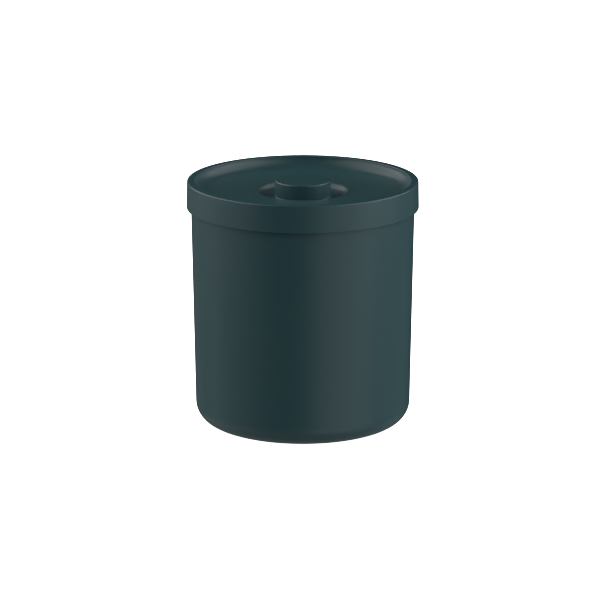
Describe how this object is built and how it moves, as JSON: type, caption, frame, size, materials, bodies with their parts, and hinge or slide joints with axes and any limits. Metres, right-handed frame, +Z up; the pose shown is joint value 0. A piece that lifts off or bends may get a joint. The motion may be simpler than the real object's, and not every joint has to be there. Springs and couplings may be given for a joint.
{
  "type": "disinfectant jar",
  "caption": "Round opaque plastic jar with a lift-off dished lid and a recessed knob that raises a perforated instrument tray on a central rod.",
  "frame": {"origin": "centre of the footprint, on the surface that the jar stands on", "axes": "+Z up along the axis of the jar; the object is round, so +X and +Y are any two level directions"},
  "size_m": [0.155, 0.155, 0.1661],
  "materials": {
    "jar_plastic": "moulded polypropylene with a fine matt grain",
    "lid_plastic": "moulded polypropylene with a fine matt grain",
    "knob_plastic": "moulded polypropylene with a fine matt grain",
    "foot_rubber": "soft thermoplastic rubber",
    "seal_silicone": "translucent silicone",
    "bush_plastic": "machined acetal",
    "nut_plastic": "moulded acetal",
    "insert_brass": "turned",
    "rod_steel": "ground stainless steel",
    "collar_steel": "turned stainless steel",
    "sleeve_steel": "turned stainless steel",
    "wire_steel": "electropolished stainless wire",
    "tray_steel": "pressed stainless sheet",
    "washer_steel": "stamped stainless steel",
    "tray_nut_steel": "stainless steel"
  },
  "bodies": {
    "jar": {"jar_body": "jar_plastic", "foot_ring": "foot_rubber"},
    "lid": {"lid_shell": "lid_plastic", "lid_seal": "seal_silicone", "rod_bush": "bush_plastic", "bush_nut": "nut_plastic"},
    "lifter": {"knob": "knob_plastic", "knob_insert": "insert_brass", "lift_rod": "rod_steel", "stop_collar": "collar_steel", "guide_sleeve": "sleeve_steel", "guide_ring": "wire_steel", "tray": "tray_steel", "upper_washer": "washer_steel", "lower_washer": "washer_steel", "tray_nut": "tray_nut_steel"}
  },
  "joints": [
    {"name": "lid_lift", "type": "slide", "parent": "jar", "child": "lid", "axis": [0, 0, 1], "range_m": [0, 0.17]},
    {"name": "knob_rise", "type": "slide", "parent": "lid", "child": "lifter", "axis": [0, 0, 1], "range_m": [0, 0.02]}
  ]
}
